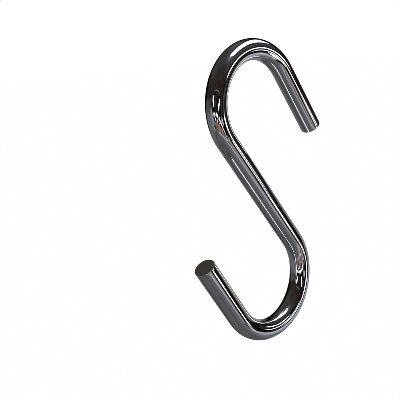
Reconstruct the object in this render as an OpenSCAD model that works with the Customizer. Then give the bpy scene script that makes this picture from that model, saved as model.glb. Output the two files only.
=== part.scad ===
// Open S hook, bent from one length of round wire. Millimetres.
//
// The wire runs: free leg, round bend, straight shank, round bend the other way, free leg.
// The two halves are alike: half a turn about the middle of the shank swaps them.
//
// Frame: the hook lies in the XZ plane as it hangs under load, with one loop's centre straight
// above the other's. The origin is the upper seat, where the wire bears on the rail.

/* [Wire] */
// Diameter of the round wire
wire_d = 5; // [2:0.5:8]
// Rounding of the rim at each cut end
rim_round = 0.3; // [0.1:0.1:0.8]

/* [Loops] */
// Inside diameter of each loop, which is the largest rail that seats fully
loop_inside_d = 20; // [12:1:40]
// Angle that the wire turns through in each loop
bend_angle = 183.5; // [170:0.5:186]

/* [Straight lengths] */
// Straight shank between the two loops
shank_length = 33.6; // [20:0.2:80]
// Straight leg from each loop to its cut end, the rounded rim included
leg_length = 17.5; // [6:0.5:24]

/* [Hidden] */

wire_r = wire_d / 2;
loop_inside_r = loop_inside_d / 2;
bend_r = loop_inside_r + wire_r; // to the middle of the wire

// The loops' centres are this far apart, on a line that leans from the shank by hang_angle.
loop_spacing = norm([2 * bend_r, shank_length]);
hang_angle = atan2(2 * bend_r, shank_length);

// Each leg is drawn this much thinner than the bend, and starts this far inside it, so that the
// two are one solid at any bend angle.
join = 0.0002;

chrome = [0.55, 0.56, 0.58];
$fn = 96;

// Half of the shank, standing on z = 0 where it meets the other half
module half_shank() {
    cylinder(r = wire_r, h = shank_length / 2);
}

// The round bend about the loop's centre, from the shank's end at -X over to the leg
module bend() {
    rotate([90, 0, 0])
        rotate_extrude(start = 180 - bend_angle, angle = bend_angle)
            translate([bend_r, 0])
                circle(r = wire_r);
}

// The straight leg along +Z, with its cut end up and the rim rounded
module free_leg() {
    leg_r = wire_r - join;
    rotate_extrude() {
        translate([0, -join])
            square([leg_r, leg_length - rim_round + join]);
        square([leg_r - rim_round, leg_length]);
        translate([leg_r - rim_round, leg_length - rim_round])
            circle(r = rim_round);
    }
}

// One half of the hook, with the shank on the Z axis and the loop on the +X side
module half_hook() {
    half_shank();
    translate([bend_r, 0, shank_length / 2]) {
        bend();
        rotate([0, bend_angle, 0])
            translate([-bend_r, 0, 0])
                free_leg();
    }
}

// The whole wire, turned to its hanging position below the upper seat
module s_hook() {
    color(chrome)
        translate([0, 0, -(loop_inside_r + loop_spacing / 2)])
            rotate([0, -hang_angle, 0]) {
                half_hook();
                rotate([0, 180, 0])
                    half_hook();
            }
}

s_hook();
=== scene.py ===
"""Chromed open S hook, bent from one length of round wire, in a photographer's studio.

The hook is one swept mesh that stands for the CAD node s_hook. It is polished chrome, apart from
its dull cut ends. Chrome shows nothing but what is round it, so the studio is painted too, as five
glowing layers round the hook that only mirror rays see: painted reflections of a dark room with a
pale table, of a window in two layers and of a soft box, and a painted self-reflection that takes
the others' place where the chrome mirrors itself. The background and the floor are plain white.
Everything is in metres, in the row frame, apart from the wire's own sizes, which are in
millimetres as in the CAD source and scaled by MM.
"""
import math

import bpy
import numpy as np
from mathutils import Matrix


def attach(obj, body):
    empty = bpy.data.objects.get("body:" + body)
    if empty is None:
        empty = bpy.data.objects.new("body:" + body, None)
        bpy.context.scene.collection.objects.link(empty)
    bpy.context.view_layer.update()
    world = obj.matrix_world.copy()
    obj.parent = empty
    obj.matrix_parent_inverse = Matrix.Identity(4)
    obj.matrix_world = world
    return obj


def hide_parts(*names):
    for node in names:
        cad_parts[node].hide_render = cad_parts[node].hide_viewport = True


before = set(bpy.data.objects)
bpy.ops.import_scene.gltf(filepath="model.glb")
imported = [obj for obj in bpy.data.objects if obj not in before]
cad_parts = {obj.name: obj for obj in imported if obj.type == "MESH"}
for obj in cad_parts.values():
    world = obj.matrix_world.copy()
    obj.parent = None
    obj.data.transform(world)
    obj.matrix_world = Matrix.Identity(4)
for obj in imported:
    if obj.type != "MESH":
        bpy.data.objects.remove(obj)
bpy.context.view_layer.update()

MM = 0.001

# ---------------------------------------------------------------- the hook's sizes, as in the CAD

WIRE_R = 2.5
RIM_ROUND = 0.3
BEND_R = 12.5  # of the wire's middle line
BEND_ANGLE = math.radians(183.5)
SHANK_LENGTH = 33.6
HALF_SHANK = SHANK_LENGTH / 2
LEG_LENGTH = 17.5
LOOP_INSIDE_R = BEND_R - WIRE_R
LOOP_SPACING = math.hypot(2 * BEND_R, SHANK_LENGTH)  # between the loops' centres
HANG_ANGLE = math.atan2(2 * BEND_R, SHANK_LENGTH)  # how far the shank leans as the hook hangs

# The shank's middle and the hook's own axes: ACROSS points from the shank to the upper loop's
# centre, ALONG runs up the shank, and SIDE is square to the plane of the hook.
SHANK_MIDDLE = np.array([0.0, 0.0, -(LOOP_INSIDE_R + LOOP_SPACING / 2)])
ACROSS = np.array([math.cos(HANG_ANGLE), 0.0, math.sin(HANG_ANGLE)])
ALONG = np.array([-math.sin(HANG_ANGLE), 0.0, math.cos(HANG_ANGLE)])
SIDE = np.array([0.0, 1.0, 0.0])

# ---------------------------------------------------------------- small helpers


def new_mesh(name, points, faces, smooth=True):
    """A mesh of these points and faces, shaded smooth or flat."""
    mesh = bpy.data.meshes.new(name)
    mesh.from_pydata([tuple(p) for p in points], [], faces)
    mesh.update()
    mesh.polygons.foreach_set("use_smooth", [smooth] * len(mesh.polygons))
    return mesh


def link(name, mesh):
    """An object in the scene that shows the mesh."""
    obj = bpy.data.objects.new(name, mesh)
    bpy.context.scene.collection.objects.link(obj)
    return obj


def linear(shown):
    """An 8-bit display colour as scene-linear light, by the sRGB curve."""
    v = np.asarray(shown, float) / 255
    return np.where(v <= 0.04045, v / 12.92, ((v + 0.055) / 1.055) ** 2.4)


def smooth_step(t):
    """0 up to 0, 1 from 1 on, and an even S curve between them."""
    t = np.clip(t, 0, 1)
    return t * t * (3 - 2 * t)


# ---------------------------------------------------------------- the hook's mesh

AROUND = 96  # points round the wire
BEND_STEPS = 124  # rings in each bend
STRAIGHT_STEP = 0.7  # about this far between the rings of a straight stretch
RIM_STEPS = 6  # rings on the rounded rim of a cut end
PLATED_RIM_STEPS = 2  # of those rings, how many the plating still reaches
FACE_RINGS = (0.35, 0.8, 1.2, 1.6, 1.95)  # radii of the rings on a cut face

# The mesh's material slots.
PLATED = 0
CUT = 1


def half_stations():
    """(place along the wire, centre, tangent) from the shank's middle to the start of the rim
    of the upper leg, in the hook's own plane: first number across, second along the shank."""
    out = []
    steps = round(HALF_SHANK / STRAIGHT_STEP)
    for i in range(1, steps + 1):
        s = HALF_SHANK * i / steps
        out.append((s, (0.0, s), (0.0, 1.0)))
    for i in range(1, BEND_STEPS + 1):
        turn = BEND_ANGLE * i / BEND_STEPS
        a = math.pi - turn
        centre = (BEND_R + BEND_R * math.cos(a), HALF_SHANK + BEND_R * math.sin(a))
        out.append((HALF_SHANK + BEND_R * turn, centre, (math.sin(a), -math.cos(a))))
    s0, (x0, z0), (tx, tz) = out[-1]
    straight = LEG_LENGTH - RIM_ROUND
    steps = round(straight / STRAIGHT_STEP)
    for i in range(1, steps + 1):
        u = straight * i / steps
        out.append((s0 + u, (x0 + tx * u, z0 + tz * u), (tx, tz)))
    return out


def wire_stations():
    """The same for the whole wire, from the lower cut end to the upper one. The lower half is the
    upper half turned round by half a turn."""
    upper = half_stations()
    lower = [(-s, (-x, -z), (tx, tz)) for s, (x, z), (tx, tz) in reversed(upper)]
    return lower + [(0.0, (0.0, 0.0), (0.0, 1.0))] + upper


def to_frame(x, y, z):
    """A point in the hook's own axes, in millimetres, as a point in the row frame."""
    return SHANK_MIDDLE + x * ACROSS + y * SIDE + z * ALONG


def build_hook():
    """The whole wire as one closed mesh. Its attribute wire_coord keeps where each point is on the
    straightened wire, in millimetres, for the materials."""
    stations = wire_stations()
    points, coords, faces, materials = [], [], [], []

    def ring(s, centre, tangent, radius, push=0.0):
        """A ring of points round the wire, moved by push along it. Returns its first index."""
        first = len(points)
        nx, nz = tangent[1], -tangent[0]
        cx, cz = centre[0] + tangent[0] * push, centre[1] + tangent[1] * push
        for k in range(AROUND):
            a = 2 * math.pi * k / AROUND
            out, side = math.cos(a), math.sin(a)
            points.append(to_frame(cx + radius * out * nx, radius * side, cz + radius * out * nz))
            coords.append((radius * out, radius * side, s + push))
        return first

    def skin(a, b, material):
        """Faces between the rings that start at points a and b."""
        for k in range(AROUND):
            after = (k + 1) % AROUND
            faces.append((a + k, a + after, b + after, b + k))
            materials.append(material)

    def cut_end(station, sign, edge):
        """Rounded rim and flat cut face beyond a station. sign is 1 at the upper end."""
        s, centre, tangent = station
        push = sign * RIM_ROUND
        rings = []
        for i in range(1, RIM_STEPS + 1):
            a = math.pi / 2 * i / RIM_STEPS
            radius = WIRE_R - RIM_ROUND + RIM_ROUND * math.cos(a)
            rings.append((radius, push * math.sin(a), PLATED if i <= PLATED_RIM_STEPS else CUT))
        for radius in reversed(FACE_RINGS):
            rings.append((radius, push, CUT))
        last = edge
        for radius, ring_push, material in rings:
            after = ring(s, centre, tangent, radius, ring_push)
            skin(*((last, after) if sign > 0 else (after, last)), material)
            last = after
        middle = len(points)
        points.append(to_frame(centre[0] + tangent[0] * push, 0.0, centre[1] + tangent[1] * push))
        coords.append((0.0, 0.0, s + push))
        for k in range(AROUND):
            a, b = last + k, last + (k + 1) % AROUND
            faces.append((a, b, middle) if sign > 0 else (b, a, middle))
            materials.append(CUT)

    wire_rings = [ring(s, centre, tangent, WIRE_R) for s, centre, tangent in stations]
    for a, b in zip(wire_rings, wire_rings[1:]):
        skin(a, b, PLATED)
    cut_end(stations[-1], 1, wire_rings[-1])
    cut_end(stations[0], -1, wire_rings[0])
    mesh = new_mesh("hook_wire", np.array(points) * MM, faces)
    mesh.polygons.foreach_set("material_index", materials)
    layer = mesh.attributes.new("wire_coord", "FLOAT_VECTOR", "POINT")
    layer.data.foreach_set("vector", np.array(coords, np.float32).ravel())
    return link("hook_wire", mesh)


# ---------------------------------------------------------------- materials

# How a pattern on the wire is scaled: in its two directions across the wire, then along it. A
# number below 1 draws the pattern out that way.
EVEN = (1.0, 1.0, 1.0)
DRAWN = (1.0, 1.0, 0.03)
SHEARED = (0.15, 1.0, 0.1)

# The two tints that a metal's clouds go between, and how deep its bumps are, in metres.
CHROME_TINTS = ((0.542, 0.55, 0.551, 1), (0.558, 0.562, 0.557, 1))
PEEL_DEPTH = 0.00001
DRAWN_LINE_DEPTH = 0.000002
CUT_TINTS = ((0.046, 0.042, 0.033, 1), (0.066, 0.06, 0.048, 1))
SHEAR_LINE_DEPTH = 0.00001

# A Mix node has a set of sockets for each kind of data. These are the ones for colour.
MIX_COLOUR_A = 6
MIX_COLOUR_B = 7
MIX_COLOUR_OUT = 2


class Nodes:
    """Short hand for making a material out of nodes."""

    def __init__(self, name):
        """A new material with no nodes in it yet."""
        self.material = bpy.data.materials.new(name)
        self.material.use_nodes = True
        self.tree = self.material.node_tree
        self.tree.nodes.clear()

    def add(self, kind, inputs=None, **settings):
        """A new node. inputs gives its sockets their values, or the outputs that feed them."""
        node = self.tree.nodes.new(kind)
        for key, value in settings.items():
            setattr(node, key, value)
        for key, value in (inputs or {}).items():
            if isinstance(value, bpy.types.NodeSocket):
                self.tree.links.new(value, node.inputs[key])
            else:
                node.inputs[key].default_value = value
        return node

    def finish(self, shader):
        """Sends the shader to the surface, and gives back the material."""
        out = self.add("ShaderNodeOutputMaterial")
        self.tree.links.new(shader, out.inputs["Surface"])
        return self.material


def wire_coordinates(n, stretch):
    """The place across and along the straightened wire, in millimetres, scaled by stretch."""
    place = n.add("ShaderNodeAttribute", attribute_type="GEOMETRY", attribute_name="wire_coord")
    inputs = {0: place.outputs["Vector"], 1: stretch}
    return n.add("ShaderNodeVectorMath", inputs, operation="MULTIPLY").outputs["Vector"]


def noise(n, vector, scale, detail):
    """A soft pattern from 0 to 1, with about scale features to a millimetre of the vector."""
    inputs = {"Vector": vector, "Scale": scale, "Detail": detail, "Roughness": 0.5}
    return n.add("ShaderNodeTexNoise", inputs).outputs["Fac"]


def spread(n, value, low, high, to_low, to_high):
    """The value from low to high, spread from to_low to to_high and held there beyond."""
    inputs = {"Value": value, "From Min": low, "From Max": high, "To Min": to_low, "To Max": to_high}
    return n.add("ShaderNodeMapRange", inputs).outputs["Result"]


def between(n, share, tints):
    """A colour between two tints, by share."""
    inputs = {"Factor": share, MIX_COLOUR_A: tints[0], MIX_COLOUR_B: tints[1]}
    return n.add("ShaderNodeMix", inputs, data_type="RGBA").outputs[MIX_COLOUR_OUT]


def chrome():
    """The plating: polished, slightly cloudy and wavy, with faint drawing lines along the wire."""
    n = Nodes("chrome_wire_finish")
    plain = wire_coordinates(n, EVEN)
    drawn = wire_coordinates(n, DRAWN)
    cloud = noise(n, plain, scale=0.35, detail=3.0)
    streak = noise(n, drawn, scale=9.0, detail=3.0)
    peel = noise(n, plain, scale=1.1, detail=2.0)
    rough_cloud = spread(n, cloud, low=0.3, high=0.7, to_low=0.02, to_high=0.05)
    rough_streak = spread(n, streak, low=0.35, high=0.75, to_low=0.0, to_high=0.02)
    rough = n.add("ShaderNodeMath", {0: rough_cloud, 1: rough_streak}, operation="ADD")
    wavy = n.add("ShaderNodeBump", {"Height": peel, "Strength": 0.12, "Distance": PEEL_DEPTH})
    lines = n.add(
        "ShaderNodeBump",
        {"Height": streak, "Strength": 0.1, "Distance": DRAWN_LINE_DEPTH, "Normal": wavy.outputs[0]},
    )
    shader = n.add(
        "ShaderNodeBsdfPrincipled",
        {
            "Base Color": between(n, cloud, CHROME_TINTS),
            "Metallic": 1.0,
            "Roughness": rough.outputs[0],
            "Normal": lines.outputs[0],
        },
    )
    return n.finish(shader.outputs[0])


def cut_steel():
    """The cropped end, cut after plating: dull dark steel with fine shear lines across it."""
    n = Nodes("cut_end_finish")
    sheared = wire_coordinates(n, SHEARED)
    plain = wire_coordinates(n, EVEN)
    shear = noise(n, sheared, scale=7.0, detail=3.0)
    cloud = noise(n, plain, scale=1.3, detail=3.0)
    bump = n.add("ShaderNodeBump", {"Height": shear, "Strength": 0.25, "Distance": SHEAR_LINE_DEPTH})
    shader = n.add(
        "ShaderNodeBsdfPrincipled",
        {
            "Base Color": between(n, cloud, CUT_TINTS),
            "Metallic": 0.3,
            "Specular IOR Level": 0.2,
            "Roughness": spread(n, cloud, low=0.3, high=0.7, to_low=0.3, to_high=0.42),
            "Normal": bump.outputs[0],
        },
    )
    return n.finish(shader.outputs[0])


# The slots' order is that of PLATED and CUT.
hook = build_hook()
hook.data.materials.append(chrome())
hook.data.materials.append(cut_steel())
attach(hook, "root")
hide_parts("s_hook")

# ---------------------------------------------------------------- the painted studio that the chrome shows

LAYER_STEP = 0.5  # degrees between the points of a layer
LAYER_MARGIN = 2.0  # degrees that a layer goes on past its cards' outlines
CARD_MARGIN = 1.0  # degrees past a card's soft edge that are still worked out
MIRROR = 0.55  # what the chrome gives back of a card's light, seen square on
FAR = 1e9  # more degrees than any outline is away
TINY = 1e-9  # takes the place of a zero that something is divided by

# A ray from the camera has a depth of 1 when the chrome has mirrored it once, and 2 when the chrome
# has mirrored it twice. This is between the two.
SELF_MIRROR_DEPTH = 1.5

# The room's walls as painted glow, by elevation in degrees: the 8-bit display colour that the chrome
# shows of them, seen square on.
WALLS = (
    (-90, (84, 84, 84)),
    (-70, (78, 78, 80)),
    (-50, (80, 80, 82)),
    (-40, (86, 87, 89)),
    (-8, (92, 93, 95)),
    (0, (60, 58, 56)),
    (6, (34, 31, 28)),
    (25, (38, 34, 31)),
    (45, (48, 46, 42)),
    (72, (52, 54, 54)),
    (90, (60, 66, 68)),
)

# What glows round the hook, layer by layer, as painted reflections of the studio. A card has its name,
# its colour as the chrome shows it, the half width of its soft edge in degrees, and its outline in
# degrees of azimuth and elevation, seen from the middle of the shank. A later card covers an earlier
# one. Colours past 255 glow brighter than white, as lamps do.
ROOM_CARDS = (
    (
        "warm_ceiling",
        (57, 56, 51),
        8,
        ((-60, 34), (-10, 34), (40, 40), (60, 50), (40, 62), (0, 62), (-50, 58)),
    ),
    (
        "dark_ceiling",
        (43, 41, 38),
        8,
        ((-175, 32), (-150, 36), (-120, 30), (-90, 28), (-72, 26), (-64, 40), (-80, 58), (-120, 60),
         (-160, 52)),
    ),
    (
        "dark_corner",
        (10, 9, 8),
        4,
        ((-18, 4), (-24, 14), (-10, 22), (20, 27), (40, 29), (56, 33), (68, 38), (80, 34), (92, 26),
         (100, 10), (100, 0), (90, 1), (78, 4), (60, 14), (40, 8), (30, -2), (28, -12), (10, -20),
         (-4, -14)),
    ),
    (
        "table_skirt",
        (102, 102, 108),
        4,
        ((88, -46), (110, -52), (130, -47), (146, -44), (160, -46), (150, -58), (120, -60), (92, -60)),
    ),
    (
        "table_leg",
        (62, 66, 70),
        2.5,
        ((63, -3), (71, -5), (72, -13), (66, -15), (61, -13)),
    ),
    (
        "table_front",
        (114, 118, 122),
        3,
        ((46, -14), (60, -22), (72, -32), (84, -41), (92, -47), (80, -51), (62, -46), (50, -36)),
    ),
    (
        "table_top",
        (122, 127, 134),
        4,
        ((52, -8), (52, 6), (66, 8), (80, 2), (90, -1), (98, -4), (105, -6), (120, -14), (132, -24),
         (142, -32), (150, -37), (142, -44), (122, -48), (100, -44), (84, -40), (68, -32), (58, -24)),
    ),
    (
        "table_side",
        (92, 96, 100),
        3,
        ((48, -12), (60, -12), (62, -28), (54, -26)),
    ),
    (
        "table_glow",
        (150, 156, 168),
        3.5,
        ((98, -29), (112, -31), (122, -33), (134, -37), (142, -40), (132, -45), (118, -41), (102, -36)),
    ),
    (
        "table_near",
        (100, 99, 99),
        6,
        ((14, -14), (30, -2), (46, 2), (50, -20), (34, -26), (14, -22)),
    ),
    (
        "table_shade",
        (60, 64, 72),
        1.5,
        ((69, -35), (75, -36), (80, -41), (84, -47), (80, -49), (74, -45), (69, -39)),
    ),
    (
        "red_wall",
        (47, 26, 27),
        2.5,
        ((171, 7), (177, 12.5), (195, 24), (210, 32.5), (225, 36), (240, 37.5), (255, 36), (268, 33),
         (280, 25), (283, 20), (268, 27), (255, 31), (240, 32.5), (225, 31), (210, 26.5), (195, 17.5),
         (178, 6), (170, 0)),
    ),
    (
        "picture_rail",
        (118, 114, 120),
        0.7,
        ((-167, 10), (-155, 16.5), (-140, 21.2), (-125, 24.3), (-112, 25.5), (-112, 26.4),
         (-125, 25.4), (-140, 22.5), (-155, 17.9), (-167, 11.2)),
    ),
    (
        "beige_cloth",
        (146, 130, 118),
        2,
        ((157, -34), (158.5, -28), (161, -24.5), (164, -21.8), (168, -21.8), (172, -24.5), (180, -27),
         (182, -29), (172, -30), (167, -33), (164, -37), (158, -38)),
    ),
    (
        "beige_light",
        (214, 198, 190),
        1.2,
        ((165, -21.5), (167, -20), (170, -22), (170, -24.5), (167, -24.5)),
    ),
    (
        "floor_blue",
        (93, 93, 101),
        4,
        ((150, -46), (165, -44), (180, -45), (195, -43.5), (205, -43), (217, -46), (220, -52),
         (210, -58), (195, -61), (175, -60), (150, -58)),
    ),
    (
        "blue_paper",
        (158, 164, 181),
        2.5,
        ((163.2, -39.8), (166.2, -35.8), (173.2, -35.8), (181.2, -36.8), (194.2, -37.3),
         (209.2, -35.3), (229.2, -33.8), (243.2, -34.8), (241.2, -37.8), (219.2, -38.8),
         (199.2, -40.3), (189.2, -42.8), (179.2, -43.3), (169.2, -42.8)),
    ),
    (
        "left_black",
        (15, 14, 15),
        2,
        ((-180, 8), (-165, 12), (-150, 12), (-138, 10), (-125, 21), (-115, 22), (-96, 21), (-88, 14),
         (-90, 2), (-91, -3), (-92, -10), (-99, -14), (-101, -20), (-110, -20), (-120, -19),
         (-128, -21), (-140, -21.5), (-150, -23), (-163, -25), (-172, -27), (-178, -29), (-184, -28),
         (-190, -22), (-196, -18), (-196, -10), (-186, -2)),
    ),
    (
        "brown_gap",
        (44, 40, 36),
        3,
        ((-136, 17), (-125, 17), (-124, -2), (-136, -3)),
    ),
    (
        "back_lamp",
        (300, 300, 300),
        0.8,
        ((-174, 1), (-173, 3.5), (-170, 5.8), (-167, 6.6), (-164.5, 6.4), (-163, 4), (-161, 3.4),
         (-157.5, 3), (-154.5, 2.2), (-152.5, 0.6), (-152, -1.5), (-152.5, -3.2), (-157, -4.2),
         (-160.5, -3.5), (-163, -1.2), (-167, 0.8)),
    ),
    (
        "side_lamp",
        (300, 300, 300),
        0.8,
        ((-114.3, 7), (-113.5, 10.5), (-111.5, 12), (-112, 17.5), (-109, 20), (-107, 18.3), (-99, 19),
         (-101, 14.5), (-102.7, 10), (-103, 2.5), (-112.7, 2.5), (-114, 4.5)),
    ),
    (
        "side_lamp_flank",
        (130, 130, 132),
        1.5,
        ((-101, 17), (-98, 17), (-95, 14), (-95, 11), (-97, 9), (-102, 9.5)),
    ),
    (
        "rail_left",
        (290, 290, 290),
        0.8,
        ((-145.7, -9.5), (-144.8, -7.6), (-142.5, -9), (-138.5, -8.2), (-137.3, -6.4), (-127.2, -6.4),
         (-126, -8.5), (-125.3, -11), (-133, -11.5), (-140, -13), (-143, -14.5), (-144.8, -13)),
    ),
    (
        "rail_link",
        (140, 138, 140),
        1,
        ((-127, -8), (-118, -7.5), (-118, -10.5), (-126, -11)),
    ),
    (
        "rail_right",
        (222, 220, 215),
        0.8,
        ((-119.5, -6.2), (-113.3, -5.5), (-108, -6.3), (-100, -6.7), (-97.5, -8.3), (-101, -10.2),
         (-104, -12.5), (-108.7, -12.6), (-111.6, -12), (-117.3, -9.6)),
    ),
    (
        "shelf_left",
        (230, 228, 228),
        0.8,
        ((-138, -16), (-134, -15.5), (-129, -15.8), (-124.8, -19), (-126, -20.4), (-130.5, -20),
         (-135, -19.2)),
    ),
    (
        "shelf_right",
        (262, 258, 250),
        0.8,
        ((-121, -14.5), (-115, -13.9), (-110.8, -15), (-111, -17.6), (-116, -18), (-119.5, -17)),
    ),
    (
        "low_rail_end",
        (290, 290, 290),
        0.8,
        ((-156.6, -11.3), (-155.2, -10.2), (-150.6, -11.3), (-148.3, -13.6), (-149.4, -15.9),
         (-155.7, -15.3)),
    ),
    (
        "low_rail_left",
        (176, 174, 186),
        1,
        ((177, -24), (180, -20.5), (183.5, -19.3), (189, -18.6), (190.5, -22), (187, -24.6),
         (183, -26), (179, -27)),
    ),
    (
        "low_rail",
        (258, 258, 260),
        0.8,
        ((-173, -18.5), (-168.5, -15.5), (-164, -14.8), (-161, -13.8), (-159, -14.7), (-155, -15.5),
         (-158.5, -17.5), (-162, -19), (-166, -19.8), (-168.5, -22), (-172, -21.5)),
    ),
    (
        "navy_gap",
        (24, 16, 40),
        0.8,
        ((-162, -19.2), (-158, -17.8), (-154, -16.4), (-149.5, -16.4), (-148, -19), (-152, -19.3),
         (-158, -21.5)),
    ),
    (
        "pale_step",
        (205, 200, 226),
        0.8,
        ((-151.2, -19.5), (-147.7, -18.2), (-143.7, -18.6), (-142.3, -19.9), (-145.4, -21),
         (-149.4, -20.7)),
    ),
    (
        "blue_spot",
        (215, 215, 238),
        0.8,
        ((-162.5, -26), (-160.3, -23.4), (-158.3, -25.4), (-160.3, -27.3)),
    ),
    (
        "cream_spot",
        (228, 222, 202),
        1,
        ((-178, -33.5), (-174.7, -32), (-171.8, -30.2), (-168.9, -29.7), (-166.5, -32),
         (-168.4, -34.6), (-171.2, -35), (-174.7, -33.9)),
    ),
    (
        "far_rail_right",
        (120, 120, 140),
        0.8,
        ((178, -8.6), (184, -8), (189, -10), (191, -12.5), (188, -14.5), (182, -14.8), (178, -13.5)),
    ),
    (
        "far_rail",
        (222, 222, 228),
        0.8,
        ((167, -7.3), (172, -8), (178, -9.3), (180, -11.5), (178, -14.8), (174, -14), (170, -11),
         (167, -9)),
    ),
    (
        "orange_cloth",
        (130, 96, 80),
        1.5,
        ((-152, -23.5), (-149, -21.5), (-141, -22), (-131, -21), (-124, -20), (-116, -20.5),
         (-111, -22), (-112, -27), (-118, -31), (-130, -32.5), (-140, -33), (-148, -31.5), (-160, -31),
         (-166, -30), (-164, -27.5)),
    ),
    (
        "pink_fold",
        (152, 112, 106),
        1.5,
        ((-142, -23.5), (-133, -23), (-130, -28), (-138, -30), (-144, -27)),
    ),
    (
        "rust_fold",
        (108, 66, 38),
        1.5,
        ((-124, -22), (-117, -22), (-117, -30), (-124, -30)),
    ),
    (
        "red_fold",
        (104, 48, 38),
        1,
        ((-147, -29.5), (-142, -29.5), (-141, -33), (-146, -33)),
    ),
    (
        "brown_edge",
        (84, 44, 26),
        0.8,
        ((-124.5, -18.2), (-117, -18.6), (-111.5, -18.4), (-111.5, -20.4), (-118, -20.8),
         (-124.5, -20.2)),
    ),
    (
        "orange_light",
        (176, 104, 60),
        0.9,
        ((-122.5, -20.4), (-117.5, -20.8), (-117.5, -23), (-121.5, -22.6)),
    ),
    (
        "left_blue",
        (118, 122, 130),
        3,
        ((-88, -5), (-84, 3), (-77, 4), (-72, -4), (-72, -22), (-82, -22), (-98, -23), (-95, -14)),
    ),
    (
        "left_panel",
        (68, 62, 57),
        1.5,
        ((-83, 14), (-77, 16), (-71, 11), (-69, 2), (-74, 0), (-82, 1)),
    ),
    (
        "left_glare",
        (132, 137, 147),
        2,
        ((-90, -4), (-86, -2), (-80, -6), (-78, -16), (-84, -20), (-92, -14)),
    ),
    (
        "left_pink",
        (160, 156, 160),
        2.5,
        ((-84, -24), (-75, -23), (-74, -33), (-80, -33), (-88, -32), (-82, -29)),
    ),
    (
        "left_shade",
        (24, 22, 24),
        1.5,
        ((-100, -25.5), (-92, -24.5), (-84, -26), (-90, -33), (-97, -31)),
    ),
    (
        "floor_light",
        (96, 98, 98),
        5,
        ((-70, -8), (-30, -8), (-16, -14), (-8, -24), (-6, -36), (-16, -41), (-30, -38), (-50, -32),
         (-70, -30)),
    ),
    (
        "left_wall",
        (72, 72, 68),
        4,
        ((-64, 9), (-45, 11), (-26, 8), (-16, 2), (-14, -6), (-40, -7), (-62, -4)),
    ),
    (
        "floor_dark",
        (55, 55, 56),
        2.5,
        ((-80, -36), (-66, -39), (-50, -42), (-30, -45.5), (-12, -46.5), (0, -46), (12, -38),
         (26, -34), (40, -42), (52, -46), (52, -54), (30, -50), (10, -46), (0, -52), (-14, -53),
         (-30, -50), (-50, -46.5), (-66, -43), (-80, -40)),
    ),
    (
        "floor_shadow",
        (71, 71, 72),
        3,
        ((-125, -56), (-105, -57), (-80, -57), (-60, -56), (-40, -52), (-26, -49), (-20, -52),
         (-40, -57), (-60, -61), (-85, -62), (-108, -62), (-126, -59)),
    ),
    (
        "nadir",
        (88, 88, 87),
        4,
        ((-118, -67), (-90, -68), (-60, -68), (-55, -72), (-80, -76), (-115, -75)),
    ),
)
WINDOW_CARDS = (
    (
        "table_edge",
        (112, 106, 100),
        1.5,
        ((94, 1), (100, -0.5), (107, -3), (112, -7.5), (117, -12), (121, -16), (121, -18), (112, -16),
         (104, -13), (97, -11), (92, -7)),
    ),
    (
        "table_shine",
        (176, 181, 194),
        2,
        ((104, -16.5), (112, -17.5), (117, -20), (118, -26), (122, -25.5), (128, -26.5), (134, -30),
         (140, -33.5), (139, -37), (130, -34), (118, -33), (112, -26), (104, -22)),
    ),
    (
        "window_wall",
        (13, 11, 10),
        1.8,
        ((98, 1), (104, 4), (150, 8), (164, 4), (174, -3), (176, -8), (170, -13), (164, -17),
         (159.5, -23), (157.5, -31), (155.5, -41), (152.5, -42), (150.5, -34), (145, -32),
         (140, -32.5), (136.5, -30.5), (133, -26), (128, -25.5), (123, -23.5), (119, -20.5),
         (118, -14), (110, -9), (105, -5)),
    ),
    (
        "window_edge",
        (66, 66, 64),
        1,
        ((172, -1), (178, -1), (178, -7), (173, -8)),
    ),
    (
        "brown_gap_low",
        (44, 39, 38),
        1,
        ((111, 8.5), (117, 7.5), (122, 3.5), (127, -1.5), (130, -7.5), (129, -11.5), (123, -7.5),
         (117, -2.5), (109, 0.5)),
    ),
    (
        "window_pane_1",
        (300, 300, 300),
        0.8,
        ((129, -8), (130, -6), (134, -5), (138, -4.5), (141, -3.5), (144, -4.5), (147, -4),
         (149.5, -4.2), (152.8, -5.5), (150.5, -7.4), (148.5, -8.8), (146, -8.5), (144, -9),
         (141, -9.8), (137, -9.3), (133, -10), (130.5, -9.5)),
    ),
    (
        "window_pane_2",
        (280, 280, 284),
        0.8,
        ((135, -17), (137, -14.5), (142, -13.5), (146, -12.5), (149, -13), (150, -15), (148.5, -17),
         (145.5, -17.5), (143.5, -19), (137, -19), (135.5, -18)),
    ),
    (
        "window_sill",
        (180, 180, 180),
        1.5,
        ((141, -31.5), (148, -31), (150.5, -34), (148.5, -42), (142, -42), (140, -36)),
    ),
    (
        "window_pane_3",
        (300, 300, 300),
        0.8,
        ((137, -23.5), (139.5, -21.5), (142, -20.5), (147, -20.4), (148.6, -21.2), (148, -23.5),
         (146.6, -25.5), (145, -28), (142.5, -29), (140.5, -27), (138, -25)),
    ),
    (
        "window_post",
        (68, 68, 74),
        1,
        ((134, 0.8), (142, 1.5), (148, 4), (152, 3.6), (152, -2.5), (149, -4.4), (143, -3.6),
         (138, -4), (134, -2)),
    ),
)
WINDOW_HEAD_CARDS = (
    (
        "head_dark",
        (18, 16, 16),
        1.8,
        ((92, 16), (100, 19), (112, 19), (125, 20), (140, 22), (158, 23), (162, 12), (160, 4),
         (150, 3.5), (136, 3.5), (122, 3), (112, 4), (104, 3), (95, 5)),
    ),
    (
        "window_top",
        (310, 310, 310),
        0.8,
        ((117.5, 9.5), (119, 11.5), (126, 12), (129, 13.8), (133, 13), (138, 14), (143, 14.7),
         (149, 14.1), (153, 12.4), (153.5, 10), (147, 7.2), (141, 7.5), (136, 7.3), (131, 6.3),
         (126, 5.3), (121, 4.8), (119, 6.5)),
    ),
)
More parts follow.
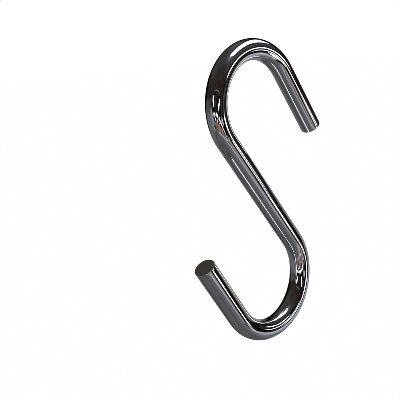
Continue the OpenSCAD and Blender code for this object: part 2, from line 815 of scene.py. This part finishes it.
SOFT_BOX_CARDS = (
    (
        "ceiling_panel",
        (70, 73, 77),
        4,
        ((20, 66), (36, 56), (48, 54), (58, 58), (68, 62), (82, 67), (94, 71), (110, 76), (120, 84),
         (70, 86), (24, 80)),
    ),
    (
        "soft_box_frame",
        (26, 26, 30),
        2,
        ((58, 46), (68, 56), (76, 63), (84, 69), (94, 74.5), (106, 79), (120, 81.5), (140, 82.5),
         (160, 82), (174, 80), (186, 75), (186, 66), (176, 58), (170, 51), (165, 47), (150, 46.5),
         (134, 46), (122, 44), (114, 38), (104, 34), (98, 29), (88, 27), (78, 31), (66, 34), (58, 38)),
    ),
    (
        "near_panel",
        (80, 78, 79),
        2,
        ((56, 8), (70, 8), (70, 14), (56, 14)),
    ),
    (
        "grey_wall",
        (58, 58, 62),
        4,
        ((98, 27), (104, 32), (116, 36), (126, 42), (140, 45), (160, 45), (172, 50), (178, 56),
         (184, 60), (184, 40), (178, 26), (160, 25), (140, 24.5), (120, 22), (104, 22)),
    ),
    (
        "soft_box_glow",
        (88, 87, 92),
        5,
        ((164, 48), (172, 46), (182, 50), (192, 56), (202, 64), (210, 72), (195, 76), (180, 72),
         (174, 64), (168, 56)),
    ),
    (
        "soft_box_skirt",
        (140, 140, 145),
        1.5,
        ((100, 42), (107, 46.5), (115, 47.5), (116, 43), (110, 38.5), (101, 38)),
    ),
    (
        "soft_box_rim",
        (150, 152, 160),
        1.2,
        ((104, 70), (120, 76), (135, 76.6), (150, 77.2), (165, 76.5), (174, 76), (182, 74), (176, 66),
         (150, 70), (120, 70)),
    ),
    (
        "soft_box_corner",
        (250, 250, 250),
        1.5,
        ((176, 67), (181, 69.5), (184.5, 66.5), (183, 63), (178, 60.5), (174, 61)),
    ),
    (
        "soft_box",
        (300, 300, 300),
        1,
        ((72, 50.5), (76.5, 53), (80.5, 56.5), (83.5, 60.5), (90.5, 64.8), (100.5, 68.5),
         (110.5, 71.3), (120.5, 73.1), (135.5, 73.5), (150.5, 73.9), (165.5, 74.1), (174.5, 74.5),
         (180.5, 73.9), (183.5, 72), (180.5, 68.5), (177, 64), (173.5, 60.5), (170, 56.5), (166.5, 52),
         (160.5, 51), (150.5, 51.5), (143.5, 52.5), (135.5, 51), (128.5, 51), (122.5, 49.5),
         (117.5, 47.5), (112.5, 45.5), (106.5, 44.3), (103.5, 41.8), (99.5, 39.5), (97.5, 37),
         (94.5, 34.5), (90.5, 32), (87.5, 33.5), (85, 36.5), (80, 39), (76.5, 40), (78, 43.5),
         (78.5, 47.5), (75.5, 49)),
    ),
    (
        "soft_box_tail",
        (170, 170, 172),
        1,
        ((68, 41), (76, 41), (77, 44), (71.5, 46), (68, 45)),
    ),
)

# Painted self-reflection: glow that stands in for what the chrome shows of the studio where it
# mirrors itself, broad lights round a grey room. Its cards are painted light and shade, named for
# the part of the studio that each stands for.
MIRRORED_WALLS = (
    (-90, (66, 66, 66)),
    (90, (66, 66, 66)),
)
MIRRORED_CARDS = (
    (
        "near_side",
        (120, 120, 122),
        10,
        ((-10, -60), (30, -58), (50, -40), (52, 20), (40, 40), (0, 40), (-14, 0)),
    ),
    (
        "window_side",
        (378, 378, 378),
        28,
        ((68, -3), (81, 38), (140, 63), (199, 38), (212, -3), (216, -46), (140, -83), (64, -46)),
    ),
    (
        "left_side",
        (300, 300, 300),
        6,
        ((-170, -20), (-140, -24), (-104, -20), (-95, -4), (-95, 2), (-104, 8), (-140, 10), (-170, 14)),
    ),
    (
        "floor_corner",
        (60, 62, 70),
        4,
        ((34, -34), (62, -32), (88, -40), (96, -55), (96, -72), (60, -80), (30, -76), (30, -50)),
    ),
    (
        "far_floor",
        (235, 236, 240),
        10,
        ((96, -34), (128, -32), (138, -45), (130, -62), (110, -72), (94, -66), (92, -48)),
    ),
    (
        "left_slot",
        (10, 10, 10),
        2,
        ((-94, -8), (-82, -8), (-82, 6), (-94, 6)),
    ),
    (
        "left_floor",
        (400, 400, 400),
        5,
        ((-180, -70), (-150, -70), (-120, -70), (-120, -22), (-150, -22), (-180, -22)),
    ),
    (
        "window_gap",
        (60, 60, 60),
        5,
        ((82, 10), (120, 10), (158, 10), (158, 24), (120, 24), (82, 24)),
    ),
)

# Each layer: its name, its distance in metres, its walls and its cards, and whether it is the painted
# self-reflection that stands in for the others where the chrome mirrors itself.
LAYERS = (
    ("studio_room", 1.2, WALLS, ROOM_CARDS, False),
    ("studio_window", 0.68, (), WINDOW_CARDS, False),
    ("studio_window_head", 0.4, (), WINDOW_HEAD_CARDS, False),
    ("studio_soft_box", 0.29, (), SOFT_BOX_CARDS, False),
    ("studio_painted_self_reflection", 0.22, MIRRORED_WALLS, MIRRORED_CARDS, True),
)


def unit(az, el):
    """The direction at an azimuth from +Y towards +X, and an elevation, in degrees."""
    a, e = np.radians(az), np.radians(el)
    return np.stack([np.sin(a) * np.cos(e), np.cos(a) * np.cos(e), np.sin(e)], -1)


def flattened(directions, middle):
    """Directions as degrees right and up from a middle one, and as degrees away from it."""
    middle = middle / np.linalg.norm(middle)
    right = np.cross(middle, (0.0, 0.0, 1.0))
    right /= np.linalg.norm(right)
    up = np.cross(right, middle)
    angle = np.degrees(np.arccos(np.clip(directions @ middle, -1, 1)))
    x, y = directions @ right, directions @ up
    length = np.maximum(np.hypot(x, y), TINY)
    return angle * x / length, angle * y / length, angle


def inside_by(x, y, corner_x, corner_y):
    """How far each point is inside an outline, in degrees; negative outside it."""
    nearest, inside = np.full(x.shape, FAR), np.zeros(x.shape, bool)
    for i in range(len(corner_x)):
        x1, y1 = corner_x[i - 1], corner_y[i - 1]
        dx, dy = corner_x[i] - x1, corner_y[i] - y1
        t = np.clip(((x - x1) * dx + (y - y1) * dy) / (dx * dx + dy * dy), 0, 1)
        nearest = np.minimum(nearest, np.hypot(x - x1 - t * dx, y - y1 - t * dy))
        crosses = (y1 > y) != (corner_y[i] > y)
        inside ^= crosses & (x < x1 + dx * (y - y1) / (dy if dy else TINY))
    return np.where(inside, nearest, -nearest)


def layer_light(directions, walls, cards):
    """What a layer shows in each direction: its light, and how much it hides of what is behind."""
    light, cover = np.zeros(directions.shape), np.zeros(len(directions))
    if walls:
        elevation = np.degrees(np.arcsin(np.clip(directions[:, 2], -1, 1)))
        heights, colours = zip(*walls)
        shown = [np.interp(elevation, heights, tint) for tint in zip(*colours)]
        light, cover = linear(np.stack(shown, -1)) / MIRROR, np.ones(len(directions))
    for _, colour, soft, outline in cards:
        corners = unit(*np.array(outline, float).T)
        middle = corners.mean(0)
        corner_x, corner_y, away = flattened(corners, middle)
        reach = math.radians(away.max() + soft + CARD_MARGIN)
        near = directions @ (middle / np.linalg.norm(middle)) > math.cos(reach)
        x, y, _ = flattened(directions[near], middle)
        share = smooth_step(0.5 + inside_by(x, y, corner_x, corner_y) / (2 * soft))
        light[near] *= 1 - share[:, None]
        light[near] += share[:, None] * linear(colour) / MIRROR
        cover[near] += share * (1 - cover[near])
    return light, cover


def layer_grid(walls, cards):
    """Azimuths and elevations of a layer's points: all round for walls, else round its cards."""
    low, high = np.array((-180.0, -90.0)), np.array((180.0, 90.0))
    if not walls:
        corners = np.concatenate([outline for *_, outline in cards])
        low, high = corners.min(0) - LAYER_MARGIN, corners.max(0) + LAYER_MARGIN
        high[1] = min(high[1], 90.0)
    columns, rows = np.ceil((high - low) / LAYER_STEP).astype(int) + 1
    return np.meshgrid(np.linspace(low[0], high[0], columns), np.linspace(low[1], high[1], rows))


def layer_material(name, painted_self_reflection):
    """Glows with the painted light and lets through what its cards don't cover. The painted
    self-reflection layer does so only for light that the chrome has mirrored twice."""
    n = Nodes(name)
    paint = n.add("ShaderNodeAttribute", attribute_type="GEOMETRY", attribute_name="studio_light")
    strength, cover = 1.0, paint.outputs["Alpha"]
    if painted_self_reflection:
        # The painted self-reflection glows only for rays that the chrome has mirrored twice.
        depth = n.add("ShaderNodeLightPath").outputs["Ray Depth"]
        twice = n.add("ShaderNodeMath", {0: depth, 1: SELF_MIRROR_DEPTH}, operation="GREATER_THAN")
        strength, cover = twice.outputs[0], twice.outputs[0]
    glow = n.add("ShaderNodeEmission", {"Color": paint.outputs["Color"], "Strength": strength})
    open_share = n.add("ShaderNodeMath", {0: 1.0, 1: cover}, operation="SUBTRACT")
    clear = n.add("ShaderNodeBsdfTransparent", {"Color": open_share.outputs[0]})
    both = n.add("ShaderNodeAddShader", {0: glow.outputs[0], 1: clear.outputs[0]})
    material = n.finish(both.outputs[0])
    material.cycles.emission_sampling = "NONE"
    return material


def build_layer(name, distance, walls, cards, painted_self_reflection):
    """A layer of the studio: part of a sphere round the shank's middle, glowing with painted light and
    seen by mirror rays.
    """
    az, el = layer_grid(walls, cards)
    rows, columns = az.shape
    directions = unit(az.ravel(), el.ravel())
    first = (np.arange(rows - 1)[:, None] * columns + np.arange(columns - 1)).ravel()
    faces = np.stack([first, first + 1, first + columns + 1, first + columns], -1)
    mesh = new_mesh(name, SHANK_MIDDLE * MM + directions * distance, faces.tolist())
    light, cover = layer_light(directions, walls, cards)
    paint = mesh.attributes.new("studio_light", "FLOAT_COLOR", "POINT")
    paint.data.foreach_set("color", np.column_stack([light, cover]).astype(np.float32).ravel())
    mesh.materials.append(layer_material(name, painted_self_reflection))
    layer = link(name, mesh)
    layer.visible_camera = False
    layer.visible_diffuse = False
    layer.visible_transmission = False
    layer.visible_volume_scatter = False
    layer.visible_shadow = False


# The glowing layers of painted reflections round the hook.
for layer in LAYERS:
    build_layer(*layer)

# ---------------------------------------------------------------- floor, world and camera

FLOOR_Z = -1.3  # so far down that the hook's shadow is out of view
FLOOR_HALF = 40.0
FLOOR_CORNERS = ((-1, -1), (1, -1), (1, 1), (-1, 1))
FLOOR_COLOUR = (0.995, 0.995, 0.995, 1)
WORLD_COLOUR = (1.0, 1.0, 1.0, 1.0)
WORLD_STRENGTH = 1.0

floor_points = [(x * FLOOR_HALF, y * FLOOR_HALF, FLOOR_Z) for x, y in FLOOR_CORNERS]
floor = link("studio_floor", new_mesh("studio_floor", floor_points, [(0, 1, 2, 3)], smooth=False))
floor_nodes = Nodes("white_floor")
paper = floor_nodes.add("ShaderNodeBsdfDiffuse", {"Color": FLOOR_COLOUR, "Roughness": 0.0})
floor.data.materials.append(floor_nodes.finish(paper.outputs[0]))

world = bpy.data.worlds.new("white_studio")
bpy.context.scene.world = world
world.use_nodes = True
background = world.node_tree.nodes["Background"]
background.inputs["Color"].default_value = WORLD_COLOUR
background.inputs["Strength"].default_value = WORLD_STRENGTH

CAMERA_AT = (-0.13882, -0.12825, 0.00489)
CAMERA_HEADING = 46.94  # degrees from +Y towards +X
CAMERA_PITCH = -10.53  # degrees above the level
CAMERA_ROLL = -4.0  # degrees anticlockwise, as seen from behind the camera
SENSOR_WIDTH = 36.0  # millimetres
LENS = 73.4  # millimetres
SHIFT_X = -0.14  # the hook is right of the picture's middle
SHIFT_Y = -0.0249
CLIP_START = 0.005
CLIP_END = 200.0
# Each pixel gathers light from little more than its own square, so thin reflections stay crisp.
FILTER_WIDTH = 0.65

camera_data = bpy.data.cameras.new("camera")
camera_data.sensor_fit = "HORIZONTAL"
camera_data.sensor_width = SENSOR_WIDTH
camera_data.lens = LENS
camera_data.shift_x = SHIFT_X
camera_data.shift_y = SHIFT_Y
camera_data.clip_start = CLIP_START
camera_data.clip_end = CLIP_END
camera = bpy.data.objects.new("camera", camera_data)
camera.matrix_world = (
    Matrix.Translation(CAMERA_AT)
    @ Matrix.Rotation(math.radians(-CAMERA_HEADING), 4, "Z")
    @ Matrix.Rotation(math.radians(90 + CAMERA_PITCH), 4, "X")
    @ Matrix.Rotation(math.radians(CAMERA_ROLL), 4, "Z")
)
bpy.context.scene.collection.objects.link(camera)
bpy.context.scene.camera = camera
bpy.context.scene.view_settings.view_transform = "Standard"
bpy.context.scene.cycles.filter_width = FILTER_WIDTH
